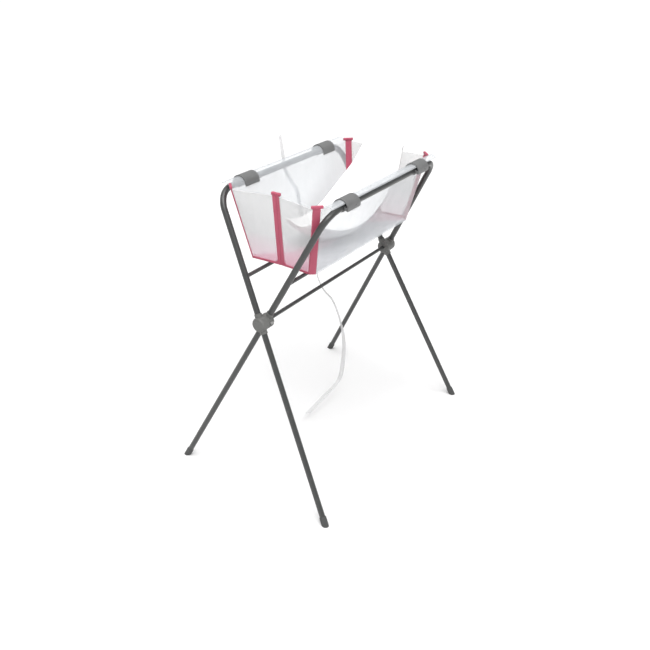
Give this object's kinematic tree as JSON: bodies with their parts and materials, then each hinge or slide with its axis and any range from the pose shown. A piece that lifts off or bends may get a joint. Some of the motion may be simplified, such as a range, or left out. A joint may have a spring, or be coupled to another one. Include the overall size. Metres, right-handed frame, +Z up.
{
  "type": "baby bath stand",
  "caption": "Folding cross-legged stand of bent grey tubes that holds a collapsible bath with translucent walls, soft pink folds, a newborn support and a closing strap.",
  "frame": {"origin": "on the floor, under the middle of the four feet", "axes": "X runs along the rails, with the newborn support's hook at +X; +Y is the side the closing strap hangs on; +Z is up"},
  "size_m": [0.9442, 0.6122, 1.03],
  "materials": {
    "frame_paint": "satin grey powder coat",
    "hub_plastic": "fine matt moulding",
    "button_plastic": "fine matt moulding",
    "foot_rubber": "matt rubber",
    "bolt_steel": "zinc plated",
    "spring_steel": "bright drawn wire",
    "clip_plastic": "satin moulding",
    "bath_plastic": "translucent white, softly polished",
    "soft_strip": "satin pink soft moulding",
    "support_plastic": "smooth white, satin",
    "strap_plastic": "pale translucent, satin"
  },
  "bodies": {
    "far_frame": {"far_top_tube": "frame_paint", "near_left_leg": "frame_paint", "near_right_leg": "frame_paint", "near_left_foot": "foot_rubber", "near_right_foot": "foot_rubber", "far_support_bar": "frame_paint", "left_outer_hub": "hub_plastic", "right_inner_hub": "hub_plastic", "pivot_tube": "frame_paint", "left_pivot_bolt": "bolt_steel", "right_pivot_bolt": "bolt_steel", "left_hub_cap": "hub_plastic", "right_lock_spring": "spring_steel"},
    "near_frame": {"near_top_tube": "frame_paint", "far_left_leg": "frame_paint", "far_right_leg": "frame_paint", "far_left_foot": "foot_rubber", "far_right_foot": "foot_rubber", "near_support_bar": "frame_paint", "left_inner_hub": "hub_plastic", "right_outer_hub": "hub_plastic", "right_hub_cap": "hub_plastic", "left_lock_spring": "spring_steel"},
    "left_button": {"left_lock_button": "button_plastic"},
    "right_button": {"right_lock_button": "button_plastic"},
    "near_wall_panel": {"near_wall": "bath_plastic", "near_left_clip": "clip_plastic", "near_right_clip": "clip_plastic", "near_left_corner": "soft_strip", "near_right_corner": "soft_strip"},
    "far_wall_panel": {"far_wall": "bath_plastic", "far_left_clip": "clip_plastic", "far_right_clip": "clip_plastic", "far_left_corner": "soft_strip", "far_right_corner": "soft_strip", "strap_stud": "strap_plastic", "closing_strap": "strap_plastic", "left_base_gusset": "soft_strip", "right_base_gusset": "soft_strip", "newborn_support": "support_plastic"},
    "near_left_end_panel": {"near_left_end": "bath_plastic", "near_left_fold": "soft_strip"},
    "far_left_end_panel": {"far_left_end": "bath_plastic", "far_left_fold": "soft_strip"},
    "near_right_end_panel": {"near_right_end": "bath_plastic", "near_right_fold": "soft_strip"},
    "far_right_end_panel": {"far_right_end": "bath_plastic", "far_right_fold": "soft_strip"},
    "near_base_panel": {"near_base": "bath_plastic", "near_base_fold": "soft_strip"},
    "far_base_panel": {"far_base": "bath_plastic", "far_base_fold": "soft_strip"}
  },
  "joints": [
    {"name": "stand_fold", "type": "hinge", "parent": "far_frame", "child": "near_frame", "pos_m": [0, 0, 0.578], "axis": [-1, 0, 0], "range_deg": [0, 39.7], "deforming": ["left_base_gusset", "right_base_gusset", "newborn_support", "closing_strap", "near_left_fold", "far_left_fold", "near_right_fold", "far_right_fold", "near_base_fold", "far_base_fold"]},
    {"name": "far_wall_hinge", "type": "hinge", "parent": "far_frame", "child": "far_wall_panel", "pos_m": [0, 0.184, 0.94], "axis": [-1, 0, 0], "range_deg": [0, 9.7]},
    {"name": "near_wall_hinge", "type": "hinge", "parent": "near_frame", "child": "near_wall_panel", "pos_m": [0, -0.184, 0.94], "axis": [1, 0, 0], "range_deg": [0, 9.7]},
    {"name": "near_left_end_hinge", "type": "hinge", "parent": "near_wall_panel", "child": "near_left_end_panel", "pos_m": [-0.3035, -0.1245, 0.83985], "axis": [0.18, 0.18, -0.9671], "range_deg": [0, 80.5]},
    {"name": "near_right_end_hinge", "type": "hinge", "parent": "near_wall_panel", "child": "near_right_end_panel", "pos_m": [0.3135, -0.1245, 0.83985], "axis": [0.18, -0.18, 0.9671], "range_deg": [0, 80.5]},
    {"name": "near_base_hinge", "type": "hinge", "parent": "near_wall_panel", "child": "near_base_panel", "pos_m": [0.005, -0.1147, 0.7327], "axis": [1, 0, 0], "range_deg": [0, 94.5]},
    {"name": "far_left_end_hinge", "type": "hinge", "parent": "far_wall_panel", "child": "far_left_end_panel", "pos_m": [-0.3035, 0.1245, 0.83985], "axis": [-0.18, 0.18, 0.9671], "range_deg": [0, 80.5]},
    {"name": "far_right_end_hinge", "type": "hinge", "parent": "far_wall_panel", "child": "far_right_end_panel", "pos_m": [0.3135, 0.1245, 0.83985], "axis": [-0.18, -0.18, -0.9671], "range_deg": [0, 80.5]},
    {"name": "far_base_hinge", "type": "hinge", "parent": "far_wall_panel", "child": "far_base_panel", "pos_m": [0.005, 0.1147, 0.7327], "axis": [-1, 0, 0], "range_deg": [0, 94.5]},
    {"name": "left_button_press", "type": "slide", "parent": "near_frame", "child": "left_button", "axis": [0, 1, 0], "range_m": [0, 0.002], "stiffness_N_per_m": 400, "springref_m": -0.004, "deforming": ["left_lock_spring"]},
    {"name": "right_button_press", "type": "slide", "parent": "far_frame", "child": "right_button", "axis": [0, -1, 0], "range_m": [0, 0.002], "stiffness_N_per_m": 400, "springref_m": -0.004, "deforming": ["right_lock_spring"]}
  ],
  "couplings": [
    {"joint": "far_wall_hinge", "follows": "stand_fold", "ratio": 0.24293},
    {"joint": "near_wall_hinge", "follows": "stand_fold", "ratio": 0.24293},
    {"joint": "near_left_end_hinge", "follows": "stand_fold", "ratio": 2.0244},
    {"joint": "near_right_end_hinge", "follows": "stand_fold", "ratio": 2.0244},
    {"joint": "near_base_hinge", "follows": "stand_fold", "ratio": 2.378},
    {"joint": "far_left_end_hinge", "follows": "stand_fold", "ratio": 2.0244},
    {"joint": "far_right_end_hinge", "follows": "stand_fold", "ratio": 2.0244},
    {"joint": "far_base_hinge", "follows": "stand_fold", "ratio": 2.378}
  ]
}
